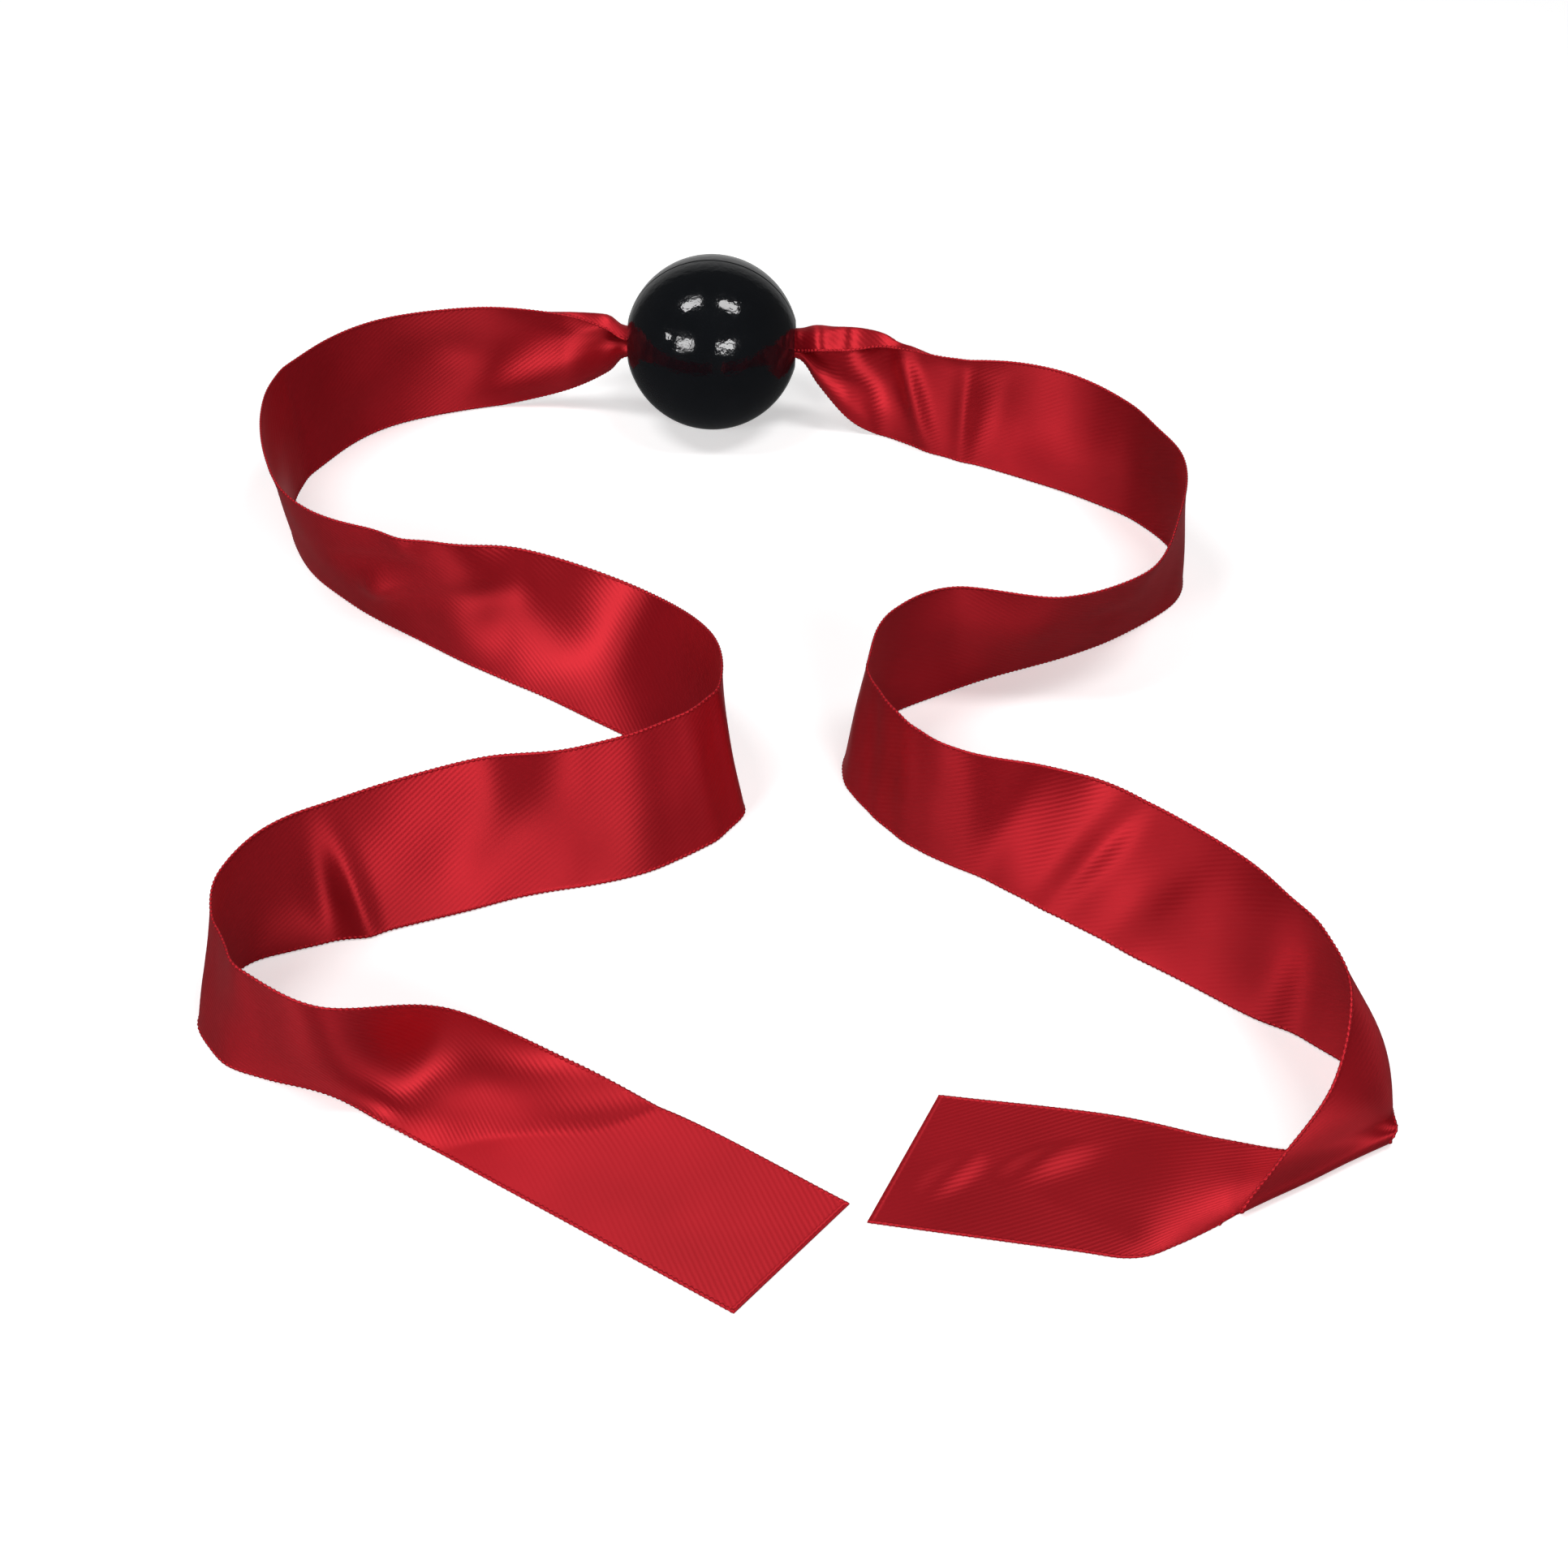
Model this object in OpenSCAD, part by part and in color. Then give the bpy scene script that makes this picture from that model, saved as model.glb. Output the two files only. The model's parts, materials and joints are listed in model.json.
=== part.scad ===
// A moulded ball threaded on one long satin ribbon. The ribbon is gathered through the ball's bore,
// stands on its edge in loose curves on both sides, and its two cut tails lie flat.
// Millimetres, +Z up. The table is the plane z = 0, and the origin is in the middle under the whole part.

/* [Ball] */
// Outer diameter of the ball
ball_d = 45; // [40:1:50]
// Bore that the gathered ribbon runs through
bore_d = 10; // [9.8:0.1:11]
// Wall of the two half shells
wall = 2.5; // [2:0.25:4]
// Wall of the channel round the bore
channel_wall = 2; // [1.5:0.25:3]
// Turn of the bore axis in plan, in degrees
bore_yaw = -2; // [-4:1:0]
// Tilt of the parting plane about the bore axis, in degrees from upright
seam_tilt = -6; // [-30:1:30]
// Round of the bore's two mouths
mouth_round = 1.2; // [0.6:0.1:1.5]
// Depth of the fine groove along the parting line
seam_depth = 0.15; // [0.1:0.05:0.3]
// Width of the fine groove along the parting line
seam_w = 0.4; // [0.2:0.1:0.6]

/* [Ribbon] */
// Width of the ribbon
ribbon_w = 32; // [31:0.5:33]
// Thickness of the solid that stands for the ribbon
ribbon_t = 0.6; // [0.4:0.1:0.8]
// Diameter of the gathered ribbon inside the bore
core_d = 9.9; // [9.8:0.1:9.9]
// Steps between two stations of the ribbon's route
steps = 5; // [3:1:8]

/* [Hidden] */
// Where the ball stands, from the origin in the middle of the whole part
ball_at = [-11, 136];
// How far the ribbon's core reaches from the middle of the ball, to just outside its mouths
core_reach = ball_d / 2 + 0.45;
$fn = 96;

// A station of the ribbon's route: x and y of its lower edge, counted from under the ball's middle, and
// how far the section leans from upright and towards which side, in degrees, +X being 0. across is its
// width where the ribbon is gathered, bent across or crossed at a slant. lift is its height off the table.
function station(x, y, lean = 0, toward = 0, lift = 0, across = ribbon_w, thick = ribbon_t) = [
    [x, y, lift],
    [
        x + across * sin(lean) * cos(toward),
        y + across * sin(lean) * sin(toward),
        lift + across * cos(lean)
    ],
    thick
];

// The station at a mouth of the ball, upright on the bore's axis. below is how far it reaches under that axis.
function beside_ball(reach, below, across, thick) = station(
    reach * cos(bore_yaw), reach * sin(bore_yaw),
    lift = ball_d / 2 - below, across = across, thick = thick
);

// From the ball to the cut end of the left tail
left_route = [
    beside_ball(-core_reach, 4.5, 9, 7),
    station(-28, 3, lift = 12, across = 17, thick = 5),
    station(-40, 7, lift = 4, across = 23, thick = 3),
    station(-60, 5, across = 30),
    station(-85, -5),
    station(-98, -20, lean = 5, toward = 180),
    station(-105, -40, lean = 5, toward = 180),
    station(-100, -65, lean = 10, toward = 225),
    station(-85, -85, lean = 15, toward = 225),
    station(-60, -105),
    station(-45, -115, lean = 20, toward = 60),
    station(-25, -130, lean = 40, toward = 55),
    station(-5, -145, lean = 20, toward = 45),
    station(10, -160, lean = 10, toward = 150),
    station(0, -175, lean = 15, toward = 120),
    station(-20, -185, lean = 15, toward = 105),
    station(-40, -190, lean = 20, toward = 105),
    station(-65, -200, lean = 15, toward = 105),
    station(-80, -205, lean = 5, toward = 120),
    station(-90, -210, lean = 10, toward = 285),
    station(-96, -224, lean = 15, toward = 345),
    station(-90, -235, lean = 10, toward = 0),
    station(-80, -240, lean = 5, toward = 270),
    station(-65, -245, lean = 10, toward = 270, across = 31),
    station(-50, -255, lean = 35, toward = 60, across = 26),
    station(-35, -265, lean = 75, toward = 60, across = 28),
    station(-20, -275, lean = 90, toward = 55),
    station(10, -295, lean = 90, toward = 50),
];

// From the ball to the cut end of the right tail, which is folded under
right_route = [
    beside_ball(core_reach, 4.5, 9, 7),
    station(28, -4, lean = 10, toward = 90, lift = 12, across = 16, thick = 5),
    station(36, -8, lean = 15, toward = 90, lift = 4, across = 24, thick = 3),
    station(45, -10, lean = 5, toward = 90, across = 29, thick = 1.5),
    station(60, -20, lean = 5, toward = 60, across = 30),
    station(80, -30, lean = 5, toward = 60),
    station(95, -40, lean = 5, toward = 70),
    station(110, -55, lean = 5, toward = 225),
    station(115, -70, lean = 5, toward = 225),
    station(112, -85, lean = 10, toward = 250),
    station(95, -100, lean = 25, toward = 295),
    station(75, -110, lean = 25, toward = 295),
    station(55, -120, lean = 5, toward = 295),
    station(40, -130, lean = 5, toward = 330),
    station(32, -145, lean = 10),
    station(35, -158, lean = 5, toward = 30),
    station(45, -172),
    station(55, -180),
    station(75, -195, lean = 20, toward = 50),
    station(100, -215, lean = 15, toward = 50),
    station(112, -225, lean = 5, toward = 50),
    station(120, -230, lean = 5, toward = 235),
    station(130, -240, lean = 20, toward = 215),
    station(132, -250, lean = 45, toward = 220, across = 28),
    station(132, -255, lean = 75, toward = 215, lift = 2, across = 28),
    station(130, -256, lean = 90, toward = 210, lift = 4, across = 35),
    station(131, -257, lean = 90, toward = 210, lift = 2, across = 35),
    station(129, -256, lean = 90, toward = 210, across = 35),
    station(115, -258, lean = 90, toward = 220, across = 34),
    station(100, -255, lean = 90, toward = 235, across = 34),
    station(80, -249, lean = 90, toward = 250, across = 34),
    station(48, -244, lean = 90, toward = 245, across = 34),
];

centre = [ball_at[0], ball_at[1], ball_d / 2];

function unit(v) = v / norm(v);
function above_table(p) = [p[0], p[1], max(p[2], 0)];
function route_to_part(p) = [p[0] + ball_at[0], p[1] + ball_at[1], p[2]];

// A point at the share u of the way from station i to the next, on a smooth curve through them all
function between(p0, p1, p2, p3, u) =
    0.5 * (2 * p1 + (p2 - p0) * u + (2 * p0 - 5 * p1 + 4 * p2 - p3) * u * u
        + (3 * p1 - p0 - 3 * p2 + p3) * u * u * u);
function smooth(list, k) = let (
    i = min(floor(k / steps), len(list) - 2),
    u = k / steps - i,
    p0 = i > 0 ? list[i - 1] : 2 * list[0] - list[1],
    p3 = i + 2 < len(list) ? list[i + 2] : 2 * list[i + 1] - list[i]
) between(p0, list[i], list[i + 1], p3, u);

// The four corners of the ribbon's section at ring k of a route, none of them under the table
function ring(route, k) = let (
    lows = [for (s = route) s[0]],
    highs = [for (s = route) s[1]],
    last = (len(route) - 1) * steps,
    low = above_table(smooth(lows, k)),
    high = above_table(smooth(highs, k)),
    a = max(k - 0.5, 0),
    b = min(k + 0.5, last),
    along = smooth(lows, b) + smooth(highs, b) - smooth(lows, a) - smooth(highs, a),
    side = unit(cross(high - low, along)) * smooth([for (s = route) s[2]], k) / 2,
    corners = [low - side, high - side, high + side, low + side],
    lift = max(0, -min([for (c = corners) c[2]]))
) [for (c = corners) route_to_part(c + [0, 0, lift])];

// The stretch of ribbon from one station to another, as a closed strip of flat triangles. Its two faces
// are split along the same diagonal, so that the strip keeps its thickness where it twists.
module stretch(route, first, last) {
    rings = [for (k = [first * steps : last * steps]) ring(route, k)];
    count = len(rings);
    points = [for (r = rings) each r];
    walls = [
        for (i = [0 : count - 2]) for (j = [0 : 3]) let (
            a = 4 * i + j,
            b = 4 * i + (j + 1) % 4
        ) each j == 2 ? [[a, b, a + 4], [b, b + 4, a + 4]] : [[a, b, b + 4], [a, b + 4, a + 4]]
    ];
    e = 4 * (count - 1);
    caps = [[0, 3, 2], [0, 2, 1], [e, e + 1, e + 2], [e, e + 2, e + 3]];
    color("crimson") polyhedron(points, concat(walls, caps));
}

// Places what is drawn along Z on the bore's axis, through the middle of the ball
module on_bore() {
    translate(centre) rotate([0, 0, bore_yaw]) rotate([0, 90, 0]) children();
}

// The outline of half the ball's wall, with its rounded mouth, for turning about the bore
module wall_outline() {
    r = ball_d / 2;
    bore_r = bore_d / 2;
    lip_x = bore_r + mouth_round;
    lip_y = sqrt(pow(r - mouth_round, 2) - pow(lip_x, 2));
    difference() {
        union() {
            intersection() {
                difference() {
                    circle(r = r);
                    circle(r = r - wall);
                }
                translate([lip_x, -r]) square([r, ball_d]);
            }
            translate([bore_r, -lip_y]) square([channel_wall, 2 * lip_y]);
            for (s = [-1, 1]) translate([lip_x, s * lip_y]) circle(r = mouth_round);
        }
        translate([-r, -r]) square([r + bore_r, ball_d]);
    }
}

// One half of the moulded ball: its shell and its half of the channel
module half_ball(side) {
    color("#16181b") on_bore() rotate([0, 0, seam_tilt]) difference() {
        rotate_extrude() wall_outline();
        translate([-ball_d, side > 0 ? -2 * ball_d : 0, -ball_d]) cube(2 * ball_d);
        rotate([90, 0, 0]) rotate_extrude()
            translate([ball_d / 2 - seam_depth, -seam_w / 2]) square([wall, seam_w]);
    }
}

module shell_front() { half_ball(-1); }
module shell_back() { half_ball(1); }

// The gathered ribbon inside the bore, from one gather to the other
module ribbon_core() {
    color("crimson") on_bore() cylinder(h = 2 * core_reach, d = core_d, center = true);
}

module left_gather() { stretch(left_route, 0, 3); }
module left_reach_1() { stretch(left_route, 3, 5); }
module left_bend_1a() { stretch(left_route, 5, 7); }
module left_bend_1b() { stretch(left_route, 7, 9); }
module left_reach_2a() { stretch(left_route, 9, 10); }
module left_reach_2b() { stretch(left_route, 10, 12); }
module left_bend_2a() { stretch(left_route, 12, 13); }
module left_bend_2b() { stretch(left_route, 13, 15); }
module left_reach_3() { stretch(left_route, 15, 18); }
module left_bend_3a() { stretch(left_route, 18, 20); }
module left_bend_3b() { stretch(left_route, 20, 22); }
module left_turn_a() { stretch(left_route, 22, 24); }
module left_turn_b() { stretch(left_route, 24, 26); }
module left_tail() { stretch(left_route, 26, 27); }

module right_gather() { stretch(right_route, 0, 3); }
module right_reach_1() { stretch(right_route, 3, 6); }
module right_bend_1a() { stretch(right_route, 6, 8); }
module right_bend_1b() { stretch(right_route, 8, 9); }
module right_bend_1c() { stretch(right_route, 9, 10); }
module right_reach_2() { stretch(right_route, 10, 12); }
module right_bend_2a() { stretch(right_route, 12, 14); }
module right_bend_2b() { stretch(right_route, 14, 16); }
module right_reach_3a() { stretch(right_route, 16, 18); }
module right_reach_3b() { stretch(right_route, 18, 21); }
module right_bend_3() { stretch(right_route, 21, 23); }
module right_flap() { stretch(right_route, 23, 25); }
module right_fold() { stretch(right_route, 25, 27); }
module right_tail() { stretch(right_route, 27, 31); }

shell_front();
shell_back();
ribbon_core();
left_gather();
left_reach_1();
left_bend_1a();
left_bend_1b();
left_reach_2a();
left_reach_2b();
left_bend_2a();
left_bend_2b();
left_reach_3();
left_bend_3a();
left_bend_3b();
left_turn_a();
left_turn_b();
left_tail();
right_gather();
right_reach_1();
right_bend_1a();
right_bend_1b();
right_bend_1c();
right_reach_2();
right_bend_2a();
right_bend_2b();
right_reach_3a();
right_reach_3b();
right_bend_3();
right_flap();
right_fold();
right_tail();
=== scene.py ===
"""A glossy black ball threaded on one long red satin ribbon: the looks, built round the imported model.

Metres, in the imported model's frame. The ribbon is one sheet from the left tail's cut end, through the
ball's bore, to the right tail's cut end. The ball keeps its CAD halves and gets a better material.
"""

import json
import math

import bpy
import numpy as np
from mathutils import Matrix, Vector


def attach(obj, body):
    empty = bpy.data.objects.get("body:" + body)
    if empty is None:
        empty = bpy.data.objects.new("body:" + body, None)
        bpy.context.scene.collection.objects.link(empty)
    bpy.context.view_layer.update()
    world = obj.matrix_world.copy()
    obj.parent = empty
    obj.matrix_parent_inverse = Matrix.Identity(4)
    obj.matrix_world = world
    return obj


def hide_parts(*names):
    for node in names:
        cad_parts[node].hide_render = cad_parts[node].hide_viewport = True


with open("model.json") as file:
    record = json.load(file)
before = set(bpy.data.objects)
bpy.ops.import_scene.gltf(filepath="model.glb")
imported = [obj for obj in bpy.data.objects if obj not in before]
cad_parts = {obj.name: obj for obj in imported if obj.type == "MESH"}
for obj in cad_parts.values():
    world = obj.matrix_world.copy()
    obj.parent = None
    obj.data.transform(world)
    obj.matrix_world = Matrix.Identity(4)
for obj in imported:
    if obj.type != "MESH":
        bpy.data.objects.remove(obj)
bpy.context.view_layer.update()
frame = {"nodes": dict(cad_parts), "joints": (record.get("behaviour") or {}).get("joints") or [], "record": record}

MM = 0.001
RIBBON_W = 0.032
RIBBON_T = 0.0003
BALL_R = 0.0225
BORE_YAW = math.radians(-2)
SEAM_TILT = -6  # of the parting plane about the bore, in degrees
SEAM_HALF = 0.0004  # half the parting line's width
KEYS = 9  # points across a section
BORE_SECTIONS = 3  # between the two mouths' sections
FINE = 40  # places to a section, where a length is measured
STEP = 0.0012  # between two rows along the ribbon
COLUMNS = 44  # quads across the ribbon
WAVES = (90, 61, 43, 31, 22)  # lengths of the ripple's waves, in mm
WAVE_HEIGHT = 0.22  # of the longest wave, in mm, and the others in proportion
CALM = 60  # mm of ribbon each way from the ball's left mouth without a ripple, whole at twice as far
BEAD = 0.0011  # between two stitches of the selvedge
RINGS_PER_BEAD = 5
RIB_SIDES = 6
RIB_INSET = 0.0003  # from the ribbon's edge in to the rib's middle
RIB_HALF_WIDTH = (0.00028, 0.00050)  # between two stitches, and at a stitch
RIB_HALF_THICKNESS = (0.00020, 0.00036)  # likewise

# The ball's middle in plan, from the frame's only joint
ball_at = Vector(frame["joints"][0]["pos_m"])
ball_at.z = 0


# ---- The ribbon's route, as in the CAD source but for a rounder fold and some bow -----------------


def station(x, y, lean=0, toward=0, lift=0, across=RIBBON_W, bow=0):
    """The two edges of the ribbon at one place of its route, and how far its section bows to the front.
    The lower edge is at x and y, lift above the table. The section leans from upright by lean, towards a
    heading in plan, both in degrees, and measures across from edge to edge."""
    out = across * math.sin(math.radians(lean))
    way = math.radians(toward)
    low = (x, y, lift)
    high = (
        x + out * math.cos(way),
        y + out * math.sin(way),
        lift + across * math.cos(math.radians(lean)),
    )
    return low, high, bow


def beside_ball(reach, below, across):
    """A station of a gather, upright on the bore's axis."""
    return station(
        reach * math.cos(BORE_YAW),
        reach * math.sin(BORE_YAW),
        lift=BALL_R - below,
        across=across,
    )


LEFT = [
    beside_ball(-0.02295, 0.0045, 0.009),
    station(-0.028, 0.003, lift=0.012, across=0.017),
    station(-0.040, 0.007, lift=0.004, across=0.023),
    station(-0.060, 0.005, across=0.030),
    station(-0.085, -0.005),
    station(-0.098, -0.020, lean=5, toward=180),
    station(-0.105, -0.040, lean=5, toward=180),
    station(-0.100, -0.065, lean=10, toward=225),
    station(-0.085, -0.085, lean=15, toward=225),
    station(-0.060, -0.105),
    station(-0.045, -0.115, lean=20, toward=60),
    station(-0.025, -0.130, lean=40, toward=55),
    station(-0.005, -0.145, lean=20, toward=45),
    station(0.010, -0.160, lean=10, toward=150),
    station(0.000, -0.175, lean=15, toward=120),
    station(-0.020, -0.185, lean=15, toward=105),
    station(-0.040, -0.190, lean=20, toward=105),
    station(-0.065, -0.200, lean=15, toward=105),
    station(-0.080, -0.205, lean=5, toward=120),
    station(-0.090, -0.210, lean=10, toward=285),
    station(-0.096, -0.224, lean=15, toward=345),
    station(-0.090, -0.235, lean=10, toward=0),
    station(-0.080, -0.240, lean=5, toward=270),
    station(-0.065, -0.245, lean=10, toward=270, across=0.031),
    station(-0.050, -0.255, lean=35, toward=60, across=0.026, bow=0.006),
    station(-0.035, -0.265, lean=75, toward=60, across=0.028, bow=0.003),
    station(-0.020, -0.275, lean=90, toward=55),
    station(0.010, -0.295, lean=90, toward=50),
]

RIGHT = [
    beside_ball(0.02295, 0.0045, 0.009),
    station(0.028, -0.004, lean=10, toward=90, lift=0.012, across=0.016),
    station(0.036, -0.008, lean=15, toward=90, lift=0.004, across=0.024),
    station(0.045, -0.010, lean=5, toward=90, across=0.029),
    station(0.060, -0.020, lean=5, toward=60, across=0.030),
    station(0.080, -0.030, lean=5, toward=60),
    station(0.095, -0.040, lean=5, toward=70),
    station(0.110, -0.055, lean=5, toward=225),
    station(0.115, -0.070, lean=5, toward=225),
    station(0.112, -0.085, lean=10, toward=250),
    station(0.095, -0.100, lean=25, toward=295),
    station(0.075, -0.110, lean=25, toward=295),
    station(0.055, -0.120, lean=5, toward=295),
    station(0.040, -0.130, lean=5, toward=330),
    station(0.032, -0.145, lean=10),
    station(0.035, -0.158, lean=5, toward=30),
    station(0.045, -0.172),
    station(0.055, -0.180),
    station(0.075, -0.195, lean=20, toward=50),
    station(0.100, -0.215, lean=15, toward=50),
    station(0.112, -0.225, lean=5, toward=50),
    station(0.120, -0.230, lean=5, toward=235, bow=-0.001),
    station(0.130, -0.240, lean=20, toward=215, bow=-0.0035),
    station(0.132, -0.248, lean=45, toward=218, lift=0.002, across=0.027, bow=-0.004),
    station(0.132, -0.253, lean=75, toward=214, lift=0.004, across=0.031, bow=-0.001),
    station(0.132, -0.256, lean=90, toward=210, lift=0.004, across=0.035),
    station(0.131, -0.257, lean=90, toward=210, lift=0.002, across=0.035),
    station(0.130, -0.256, lean=90, toward=210, across=0.034),
    station(0.115, -0.258, lean=90, toward=220, across=0.034),
    station(0.100, -0.255, lean=90, toward=235, across=0.034),
    station(0.080, -0.249, lean=90, toward=250, across=0.034),
    station(0.048, -0.244, lean=90, toward=245, across=0.034),
]


# ---- Curves through points ---------------------------------------------------------------------


def smooth(points, at):
    """Points on the smooth curve through a list of points, at fractional places in that list."""
    points = np.asarray(points, float)
    last = len(points) - 1
    i = np.clip(np.floor(at).astype(int), 0, last - 1)
    u = (at - i).reshape((-1,) + (1,) * (points.ndim - 1))
    before = 2 * points[0] - points[1]
    after = 2 * points[-1] - points[-2]
    ends = np.concatenate([[before], points, [after]])
    p0, p1, p2, p3 = ends[i], ends[i + 1], ends[i + 2], ends[i + 3]
    return 0.5 * (
        2 * p1
        + (p2 - p0) * u
        + (2 * p0 - 5 * p1 + 4 * p2 - p3) * u**2
        + (3 * p1 - p0 - 3 * p2 + p3) * u**3
    )


def unit(v):
    return v / np.maximum(np.linalg.norm(v, axis=-1, keepdims=True), 1e-12)


# Sections of a gather, as (forward, up) in millimetres from the lower edge in plan and the bore's axis in
# height, from the lower edge to the upper one. The top rolls forward, and its edge comes down in front.
# The first is in the bore's mouth, and the others at the stations beside it.
LEFT_GATHER = [
    [
        (2.3, -3.4), (3.5, -1.3), (2.2, 0.3), (-0.7, 0.2), (-3.2, -1.2),
        (-3.9, 1.0), (-2.3, 3.2), (0.9, 3.8), (3.3, 2.2),
    ],
    [
        (0.0, -10.5), (2.2, -8.0), (3.2, -4.8), (2.0, -1.4), (-1.0, -0.2),
        (-3.4, 1.6), (-2.6, 4.8), (0.0, 6.0), (2.6, 3.8),
    ],
    [
        (0.0, -18.5), (1.8, -15.4), (2.9, -12.0), (3.1, -8.4), (1.8, -5.0),
        (0.0, -1.8), (-0.8, 1.6), (-0.4, 4.6), (1.2, 4.9),
    ],
]
RIGHT_GATHER = [
    [
        (2.3, -3.2), (2.7, -1.5), (0.5, -0.8), (-2.0, -1.5), (-3.8, 0.2),
        (-3.5, 2.0), (-1.3, 3.7), (1.8, 3.5), (3.7, -0.2),
    ],
    [
        (0.0, -10.5), (2.2, -7.4), (0.8, -4.6), (-2.4, -3.2), (-4.8, -0.6),
        (-5.4, 2.6), (-3.4, 5.3), (0.6, 5.2), (3.5, 1.6),
    ],
    [
        (0.0, -18.5), (0.6, -14.8), (-0.4, -11.2), (-2.6, -7.8), (-5.0, -4.4),
        (-7.0, -0.6), (-7.6, 3.4), (-5.4, 5.4), (-1.0, 1.4),
    ],
    [
        (0.0, -22.5), (0.8, -18.4), (1.0, -14.0), (0.2, -9.6), (-0.8, -5.2),
        (-2.2, -0.8), (-3.4, 3.4), (-2.6, 6.4), (0.4, 4.4),
    ],
    [
        (0.0, -22.5), (0.1, -18.6), (0.0, -14.7), (-0.3, -10.8), (-0.8, -6.9),
        (-1.3, -3.0), (-1.8, 0.9), (-2.1, 4.8), (-1.0, 6.6),
    ],
]


def sections(route, gather, side):
    """Key points across the ribbon at every station of a route, KEYS to a station."""
    lows = np.array([s[0] for s in route])
    highs = np.array([s[1] for s in route])
    bows = np.array([s[2] for s in route])
    places = np.arange(len(route), dtype=float)
    ahead = smooth(lows + highs, np.minimum(places + 0.5, len(route) - 1))
    behind = smooth(lows + highs, np.maximum(places - 0.5, 0))
    along = unit(ahead - behind) * side
    front = unit(np.cross(along, highs - lows))
    share = np.linspace(0, 1, KEYS)
    arch = 4 * share * (1 - share)
    rows = lows[:, None] + share[None, :, None] * (highs - lows)[:, None]
    rows = rows + arch[None, :, None] * (bows[:, None] * front)[:, None]
    towards_front = np.array([0, -1, 0])
    for row, section in enumerate(gather):
        middle = np.array([lows[row][0], lows[row][1], BALL_R])
        for key, (forward, up) in enumerate(section):
            rows[row, key] = middle + MM * (forward * towards_front + up * np.array([0, 0, 1]))
    return rows


def through_bore(start, end, count):
    """Sections inside the bore, from one mouth's to the other's."""
    share = np.linspace(0, 1, count + 2)[1:-1, None, None]
    return start + (end - start) * (3 * share**2 - 2 * share**3)


left_keys = sections(LEFT, LEFT_GATHER, -1)
right_keys = sections(RIGHT, RIGHT_GATHER, 1)
bore_keys = through_bore(left_keys[0], right_keys[0], BORE_SECTIONS)
keys = np.concatenate([left_keys[::-1], bore_keys, right_keys])
keys += np.array([ball_at.x, ball_at.y, 0])


def even_places(points, step):
    """Fractional places in a list of sections that are one step apart along its middle line."""
    fine = np.linspace(0, len(points) - 1, FINE * len(points))
    line = smooth(points[:, KEYS // 2], fine)
    run = np.concatenate([[0], np.cumsum(np.linalg.norm(np.diff(line, axis=0), axis=1))])
    count = int(run[-1] / step)
    return np.interp(np.linspace(0, run[-1], count + 1), run, fine)


places = even_places(keys, STEP)
across = np.linspace(0, KEYS - 1, COLUMNS + 1)
rows = smooth(keys, places)
grid = np.stack([smooth(row, across) for row in rows])


# ---- The sheet's small shapes ----------------------------------------------------------------------


def normals(points):
    """The front of the sheet at every point: towards -Y where the ribbon enters the ball."""
    return unit(np.cross(np.gradient(points, axis=0), np.gradient(points, axis=1)))


def run_along(points):
    """How far every row is along the sheet, by its middle line."""
    middle = points.mean(axis=1)
    return np.concatenate([[0], np.cumsum(np.linalg.norm(np.diff(middle, axis=0), axis=1))])


def row_of(side, number):
    """The fractional row of the grid at a station of one side, which may be fractional too."""
    place = len(LEFT) - 1 - number if side == "left" else len(LEFT) + BORE_SECTIONS + number
    return np.interp(place, places, np.arange(len(places)))


def press(points, side, number, share, height, length, width, turn=0.0):
    """Raises the sheet to its front by height, in mm, in an oval spot length by width, in mm. The spot's
    middle is at a station and a share of the way from the lower edge to the upper, and turn is the angle
    from the ribbon's own length to the oval's, in degrees."""
    run = run_along(points)
    along = (run - np.interp(row_of(side, number), np.arange(len(run)), run))[:, None] / MM
    up = (np.linspace(0, 1, points.shape[1])[None, :] - share) * RIBBON_W / MM
    c, s = math.cos(math.radians(turn)), math.sin(math.radians(turn))
    a, b = (along * c + up * s) / length, (up * c - along * s) / width
    return points + normals(points) * (MM * height * np.exp(-(a**2) - b**2))[..., None]


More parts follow.
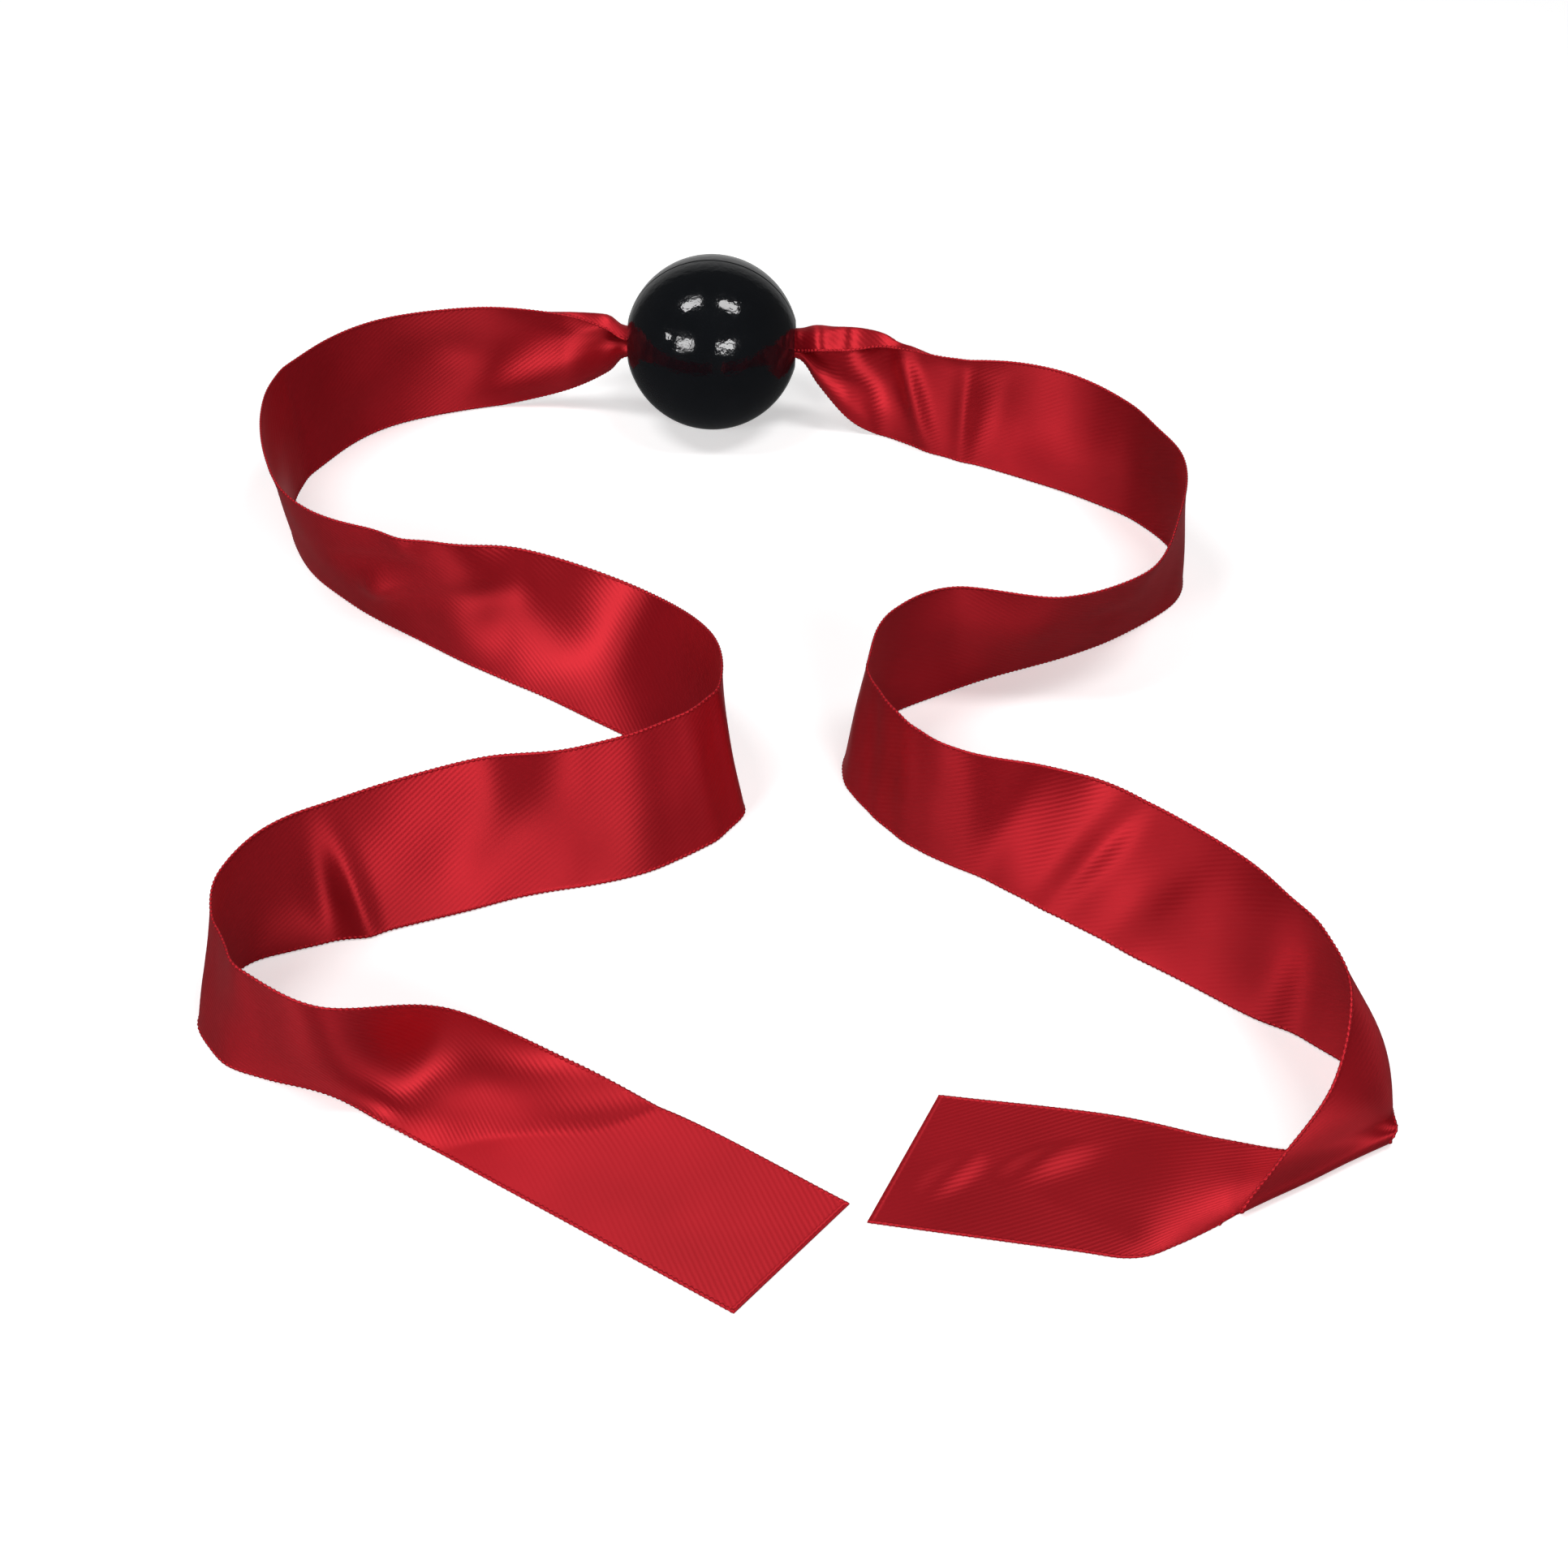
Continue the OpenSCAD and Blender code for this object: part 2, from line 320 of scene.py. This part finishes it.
# The creases, as press() takes them: side, station, share, height, length, width, turn
SPOTS = [
    ("left", 2.6, 0.25, 1.6, 12, 5, 10),
    ("left", 3.4, 0.62, -0.9, 12, 5, -10),
    ("left", 4.3, 0.50, 1.1, 12, 7, 15),
    ("left", 5.5, 0.50, -0.7, 24, 4, 90),
    ("left", 8.45, 0.42, -2.0, 6, 3.6, -30),
    ("left", 8.45, 0.66, 0.9, 12, 3, -15),
    ("left", 8.75, 0.95, -1.5, 5, 5, 60),
    ("left", 9.2, 0.55, 0.6, 14, 3, -20),
    ("left", 9.9, 0.72, -1.2, 14, 8, 20),
    ("left", 11.0, 0.45, 1.0, 18, 12, 0),
    ("left", 13.1, 0.5, 0.45, 26, 2.4, 90),
    ("left", 13.4, 0.5, -0.35, 26, 2.4, 86),
    ("left", 13.75, 0.5, 0.45, 26, 2.6, 92),
    ("left", 14.2, 0.5, -0.4, 26, 4, 90),
    ("left", 15.1, 0.4, -0.9, 22, 8, 70),
    ("left", 15.8, 0.5, 0.8, 22, 7, 60),
    ("left", 17.1, 0.30, 1.1, 13, 2.6, 100),
    ("left", 17.45, 0.35, -0.9, 14, 3.5, 95),
    ("left", 20.6, 0.5, 0.5, 24, 4, 90),
    ("left", 23.4, 0.45, -0.5, 20, 6, 60),
    ("left", 24.2, 0.55, 0.4, 20, 6, 55),
    ("left", 26.15, 0.55, 0.5, 18, 3.0, 88),
    ("left", 26.3, 0.40, 0.4, 16, 3.0, 150),
    ("left", 26.6, 0.35, 0.4, 14, 5.0, 30),
    ("right", 2.9, 0.45, -1.8, 8, 6, -20),
    ("right", 3.5, 0.50, 1.6, 14, 3.0, 110),
    ("right", 4.25, 0.45, 0.9, 15, 2.6, 88),
    ("right", 4.6, 0.60, -0.8, 12, 5, 80),
    ("right", 5.6, 0.30, 1.0, 14, 6, 10),
    ("right", 6.6, 0.5, -0.6, 24, 6, 90),
    ("right", 10.3, 0.5, 0.9, 8, 4, 40),
    ("right", 11.4, 0.6, -0.8, 16, 7, 10),
    ("right", 12.6, 0.4, 0.7, 14, 6, 30),
    ("right", 14.6, 0.5, 0.45, 26, 2.6, 90),
    ("right", 15.2, 0.5, -0.4, 26, 2.6, 90),
    ("right", 15.9, 0.5, 0.45, 26, 2.8, 90),
    ("right", 17.4, 0.5, -0.8, 22, 5, 75),
    ("right", 18.1, 0.5, 0.9, 16, 3.0, 65),
    ("right", 18.5, 0.35, -0.8, 16, 5, 60),
    ("right", 19.0, 0.55, 0.8, 16, 8, 20),
    ("right", 20.6, 0.35, -1.0, 14, 5, 80),
    ("right", 28.8, 0.4, 1.0, 20, 7, 5),
    ("right", 29.6, 0.7, 0.9, 16, 6, -15),
    ("right", 30.3, 0.4, 1.2, 10, 4, 40),
    ("right", 30.7, 0.55, 0.9, 9, 4, 60),
]


def ripple(points):
    """Slow waves of a soft strip, 0.6 mm high at most, as seeded sums of sines."""
    draw = np.random.default_rng(7)
    run = run_along(points)[:, None] / MM
    up = np.linspace(0, 1, points.shape[1])[None, :] * RIBBON_W / MM
    height = np.zeros((len(run), points.shape[1]))
    for wave in WAVES:
        tilt, phase = draw.uniform(-1.2, 1.2), draw.uniform(0, 2 * math.pi)
        height += wave / WAVES[0] * WAVE_HEIGHT * np.sin(2 * math.pi * (run + tilt * up) / wave + phase)
    from_ball = np.abs(np.arange(len(run)) - row_of("left", 0)) * STEP / MM
    share = np.clip((from_ball - CALM) / CALM, 0, 1)[:, None]
    return points + normals(points) * (MM * height * share)[..., None]


def lift_off_table(points):
    points[..., 2] = np.maximum(points[..., 2], RIBBON_T)
    return points


grid = ripple(grid)
for spot in SPOTS:
    grid = press(grid, *spot)
grid = lift_off_table(grid)


# ---- Meshes ----------------------------------------------------------------------------------------


def new_mesh(name, points, faces, material):
    mesh = bpy.data.meshes.new(name)
    mesh.from_pydata(points.reshape(-1, 3).tolist(), [], faces.tolist())
    mesh.polygons.foreach_set("use_smooth", np.full(len(faces), True))
    mesh.materials.append(material)
    made = bpy.data.objects.new(name, mesh)
    bpy.context.scene.collection.objects.link(made)
    return made


def grid_faces(count, columns):
    corner = (np.arange(count - 1)[:, None] * columns + np.arange(columns - 1)[None, :]).ravel()
    return np.stack([corner, corner + 1, corner + columns + 1, corner + columns], axis=1)


def add_cloth_map(made, cloth):
    """The place of every corner on the flat ribbon, in metres, as a UV map for the weave."""
    layer = made.data.uv_layers.new(name="cloth")
    corners = np.empty(len(made.data.loops), np.int64)
    made.data.loops.foreach_get("vertex_index", corners)
    layer.data.foreach_set("uv", cloth[corners].ravel())


def sheet_mesh(name, points, material):
    """A sheet of the ribbon's thickness, closed all round."""
    count, columns = points.shape[:2]
    half = normals(points) * RIBBON_T / 2
    total = count * columns
    faces = grid_faces(count, columns)
    front = np.arange(total).reshape(count, columns)
    back = front + total
    edges = (
        (front[:, 0], back[:, 0]),
        (back[:, -1], front[:, -1]),
        (back[0], front[0]),
        (front[-1], back[-1]),
    )
    rims = [np.stack([a[:-1], a[1:], b[1:], b[:-1]], axis=1) for a, b in edges]
    both = np.concatenate([(points + half).reshape(-1, 3), (points - half).reshape(-1, 3)])
    made = new_mesh(name, both, np.concatenate([faces, faces[:, ::-1] + total, *rims]), material)
    flat = np.meshgrid(run_along(points), np.linspace(0, RIBBON_W, columns), indexing="ij")
    cloth = np.stack(flat, axis=-1).reshape(-1, 2)
    add_cloth_map(made, np.concatenate([cloth, cloth]))
    return made


def selvedge(name, points, column, material):
    """The woven edge as a flat rib with a stitch every BEAD along it."""
    inner = points[:, 1] if column == 0 else points[:, -2]
    edge = points[:, column]
    run = np.concatenate([[0], np.cumsum(np.linalg.norm(np.diff(edge, axis=0), axis=1))])
    count = int(run[-1] / BEAD * RINGS_PER_BEAD)
    at = np.linspace(0, run[-1], count)

    def along(values):
        return np.stack([np.interp(at, run, values[:, i]) for i in range(3)], axis=1)

    outward = unit(along(edge - inner))
    front = unit(along(normals(points)[:, column]))
    middle = along(edge) - outward * RIB_INSET
    swell = 0.5 - 0.5 * np.cos(2 * math.pi * at / BEAD)
    angles = np.linspace(0, 2 * math.pi, RIB_SIDES, endpoint=False)
    wide = np.interp(swell, (0, 1), RIB_HALF_WIDTH)
    thick = np.interp(swell, (0, 1), RIB_HALF_THICKNESS)
    rings = (
        middle[:, None]
        + (wide[:, None] * np.cos(angles))[..., None] * outward[:, None]
        + (thick[:, None] * np.sin(angles))[..., None] * front[:, None]
    )
    rings[..., 2] = np.maximum(rings[..., 2], 0)
    corner = np.arange(RIB_SIDES)
    ring = (np.arange(count - 1) * RIB_SIDES)[:, None]
    after = (corner + 1) % RIB_SIDES
    faces = np.stack(
        [ring + corner, ring + after, ring + after + RIB_SIDES, ring + corner + RIB_SIDES], axis=2
    ).reshape(-1, 4)
    return new_mesh(name, rings, faces, material)


# ---- Materials -------------------------------------------------------------------------------------


def new_material(name):
    material = bpy.data.materials.new(name)
    material.use_nodes = True
    tree = material.node_tree
    return material, tree, tree.nodes["Principled BSDF"]


def satin(name, weave):
    """Red satin with a fine twill on the flat ribbon's map or, without the weave, its edges' thread."""
    material, tree, shader = new_material(name)
    nodes, links = tree.nodes, tree.links
    shader.inputs["Metallic"].default_value = 0.7
    shader.inputs["Roughness"].default_value = 0.46
    shader.inputs["Sheen Weight"].default_value = 0.04
    shader.inputs["Sheen Roughness"].default_value = 0.4
    shader.inputs["Sheen Tint"].default_value = (1.0, 0.35, 0.38, 1)
    if weave:
        # The floats run along the ribbon, so a highlight is a band across it
        shader.inputs["Anisotropic"].default_value = 0.85
        shader.inputs["Anisotropic Rotation"].default_value = 0.25
        tangent = nodes.new("ShaderNodeTangent")
        tangent.direction_type = "UV_MAP"
        tangent.uv_map = "cloth"
        links.new(tangent.outputs["Tangent"], shader.inputs["Tangent"])
        place = nodes.new("ShaderNodeUVMap")
        place.uv_map = "cloth"
        coordinates = place.outputs["UV"]
    else:
        place = nodes.new("ShaderNodeTexCoord")
        coordinates = place.outputs["Object"]

    cloud = nodes.new("ShaderNodeTexNoise")
    cloud.inputs["Scale"].default_value = 28
    cloud.inputs["Detail"].default_value = 2
    links.new(coordinates, cloud.inputs["Vector"])
    dye = nodes.new("ShaderNodeValToRGB")
    dye.color_ramp.elements[0].position = 0.3
    dye.color_ramp.elements[0].color = (0.40, 0.0060, 0.0130, 1)
    dye.color_ramp.elements[1].position = 0.7
    dye.color_ramp.elements[1].color = (0.52, 0.0095, 0.0200, 1)
    links.new(cloud.outputs["Fac"], dye.inputs["Fac"])
    links.new(dye.outputs["Color"], shader.inputs["Base Color"])

    thread = nodes.new("ShaderNodeTexNoise")
    thread.inputs["Scale"].default_value = 2600
    thread.inputs["Detail"].default_value = 3
    links.new(coordinates, thread.inputs["Vector"])
    height = thread.outputs["Fac"]
    if weave:
        turned = nodes.new("ShaderNodeMapping")
        turned.inputs["Rotation"].default_value = (0, 0, math.radians(58))
        links.new(coordinates, turned.inputs["Vector"])
        twill = nodes.new("ShaderNodeTexWave")
        twill.inputs["Scale"].default_value = 320
        twill.inputs["Distortion"].default_value = 0.6
        twill.inputs["Detail"].default_value = 1
        links.new(turned.outputs["Vector"], twill.inputs["Vector"])
        mixed = nodes.new("ShaderNodeMix")
        mixed.inputs["Factor"].default_value = 0.35
        links.new(twill.outputs["Fac"], mixed.inputs["A"])
        links.new(thread.outputs["Fac"], mixed.inputs["B"])
        height = mixed.outputs["Result"]
    relief = nodes.new("ShaderNodeBump")
    relief.inputs["Strength"].default_value = 0.5
    relief.inputs["Distance"].default_value = 0.00006
    links.new(height, relief.inputs["Height"])
    links.new(relief.outputs["Normal"], shader.inputs["Normal"])
    return material


def black_plastic():
    """Glossy moulded plastic with a faint orange peel, and a dull line where the two halves meet."""
    material, tree, shader = new_material("black_plastic")
    nodes, links = tree.nodes, tree.links
    shader.inputs["IOR"].default_value = 1.5
    place = nodes.new("ShaderNodeTexCoord")

    def noise(scale, detail):
        made = nodes.new("ShaderNodeTexNoise")
        made.inputs["Scale"].default_value = scale
        made.inputs["Detail"].default_value = detail
        links.new(place.outputs["Object"], made.inputs["Vector"])
        return made.outputs["Fac"]

    def ramp(source, low, high):
        made = nodes.new("ShaderNodeMapRange")
        made.inputs["From Min"].default_value = 0.35
        made.inputs["From Max"].default_value = 0.65
        made.inputs["To Min"].default_value = low
        made.inputs["To Max"].default_value = high
        links.new(source, made.inputs["Value"])
        return made.outputs["Result"]

    tint = nodes.new("ShaderNodeMix")
    tint.data_type = "RGBA"
    tint.inputs["A"].default_value = (0.0020, 0.0026, 0.0036, 1)
    tint.inputs["B"].default_value = (0.0040, 0.0048, 0.0062, 1)
    links.new(noise(90, 2), tint.inputs["Factor"])
    links.new(tint.outputs["Result"], shader.inputs["Base Color"])
    yaw, tilt = BORE_YAW, math.radians(SEAM_TILT)
    across_seam = Vector((-math.sin(yaw) * math.cos(tilt), math.cos(yaw) * math.cos(tilt), math.sin(tilt)))
    middle = Vector((ball_at.x, ball_at.y, BALL_R))
    offset = nodes.new("ShaderNodeVectorMath")
    offset.operation = "DOT_PRODUCT"
    offset.inputs[1].default_value = across_seam
    links.new(place.outputs["Object"], offset.inputs[0])
    seam = nodes.new("ShaderNodeMath")
    seam.operation = "COMPARE"
    seam.inputs[1].default_value = middle.dot(across_seam)
    seam.inputs[2].default_value = SEAM_HALF
    links.new(offset.outputs["Value"], seam.inputs[0])
    dull = nodes.new("ShaderNodeMix")
    links.new(seam.outputs["Value"], dull.inputs["Factor"])
    links.new(ramp(noise(260, 4), 0.07, 0.14), dull.inputs["A"])
    dull.inputs["B"].default_value = 0.9
    links.new(dull.outputs["Result"], shader.inputs["Roughness"])
    peel = nodes.new("ShaderNodeBump")
    peel.inputs["Strength"].default_value = 0.4
    peel.inputs["Distance"].default_value = 0.0002
    links.new(noise(650, 2), peel.inputs["Height"])
    links.new(peel.outputs["Normal"], shader.inputs["Normal"])
    return material


def pale_floor():
    material, tree, shader = new_material("pale_floor")
    shader.inputs["Base Color"].default_value = (0.92, 0.92, 0.92, 1)
    shader.inputs["Roughness"].default_value = 0.9
    shader.inputs["Emission Color"].default_value = (1, 1, 1, 1)
    shader.inputs["Emission Strength"].default_value = 0.4
    return material


red_satin = satin("red_satin", weave=True)
red_thread = satin("red_thread", weave=False)
ribbon = sheet_mesh("ribbon", grid, red_satin)
selvedges = [
    selvedge("selvedge_lower", grid, 0, red_thread),
    selvedge("selvedge_upper", grid, -1, red_thread),
]
for piece in (ribbon, *selvedges):
    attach(piece, "ribbon")
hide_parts(*frame["record"]["behaviour"]["bodies"]["ribbon"])

plastic = black_plastic()
for name in ("shell_front", "shell_back"):
    shell = frame["nodes"][name]
    shell.data.materials.clear()
    shell.data.materials.append(plastic)


# ---- Floor, lights and camera ----------------------------------------------------------------------


def stage_floor():
    size = 6.0
    points = np.array([(-size, -size, 0), (size, -size, 0), (size, size, 0), (-size, size, 0)])
    floor = new_mesh("floor", points, np.array([[0, 1, 2, 3]]), pale_floor())
    floor.visible_glossy = False  # the ball reflects a dark room, as in a product picture


def lamp(name, towards, distance, size, power, roll):
    """A soft light that shines on the ball from a direction, its long side level but for the roll."""
    light = bpy.data.lights.new(name, "AREA")
    light.shape = "RECTANGLE"
    light.size, light.size_y = size
    light.energy = power
    made = bpy.data.objects.new(name, light)
    out = Vector(towards).normalized()
    side = (Vector((1, 0, 0)) - out * out.x).normalized()
    up = out.cross(side)
    c, s = math.cos(math.radians(roll)), math.sin(math.radians(roll))
    turned = side * c + up * s
    axes = Matrix((turned, out.cross(turned), out)).transposed()
    place = Vector((ball_at.x, ball_at.y, BALL_R)) + out * distance
    made.matrix_world = Matrix.Translation(place) @ axes.to_4x4()
    bpy.context.scene.collection.objects.link(made)


stage_floor()
lamp("softbox_1", (-0.39, -0.11, 0.91), 1.1, (0.42, 0.21), 3.8, 4)
lamp("softbox_2", (0.35, -0.15, 0.92), 1.1, (0.42, 0.21), 3.8, -4)
lamp("softbox_3", (-0.58, -0.72, 0.38), 1.3, (0.48, 0.24), 5.4, 0)
lamp("softbox_4", (0.33, -0.86, 0.39), 1.3, (0.48, 0.24), 5.4, 0)
lamp("lamp_5", (-0.84, -0.39, 0.36), 1.3, (0.13, 0.15), 0.8, 0)


def studio_world():
    """Dim all round, with a pale backdrop behind the part, level with it."""
    world = bpy.data.worlds.new("studio")
    world.use_nodes = True
    nodes, links = world.node_tree.nodes, world.node_tree.links
    place = nodes.new("ShaderNodeTexCoord")
    split = nodes.new("ShaderNodeSeparateXYZ")
    links.new(place.outputs["Generated"], split.inputs["Vector"])
    pale = nodes.new("ShaderNodeMapRange")
    pale.inputs["From Min"].default_value = 0.7
    pale.inputs["From Max"].default_value = 1.0
    pale.inputs["To Min"].default_value = 0.07
    pale.inputs["To Max"].default_value = 0.6
    links.new(split.outputs["Y"], pale.inputs["Value"])
    links.new(pale.outputs["Result"], nodes["Background"].inputs["Strength"])
    nodes["Background"].inputs["Color"].default_value = (1, 1, 1, 1)
    bpy.context.scene.world = world


studio_world()
bpy.context.scene.view_settings.view_transform = "Standard"


def view_from_front():
    """The camera in front of the part and above it, looking 40 degrees down."""
    camera = bpy.data.objects.new("camera", bpy.data.cameras.new("camera"))
    camera.data.lens = 55.9
    camera.data.sensor_width = 36
    camera.location = (ball_at.x + 0.0187, ball_at.y - 0.5592, 0.3417)
    camera.rotation_euler = (math.radians(90 - 40), 0, 0)
    bpy.context.scene.collection.objects.link(camera)
    bpy.context.scene.camera = camera


view_from_front()
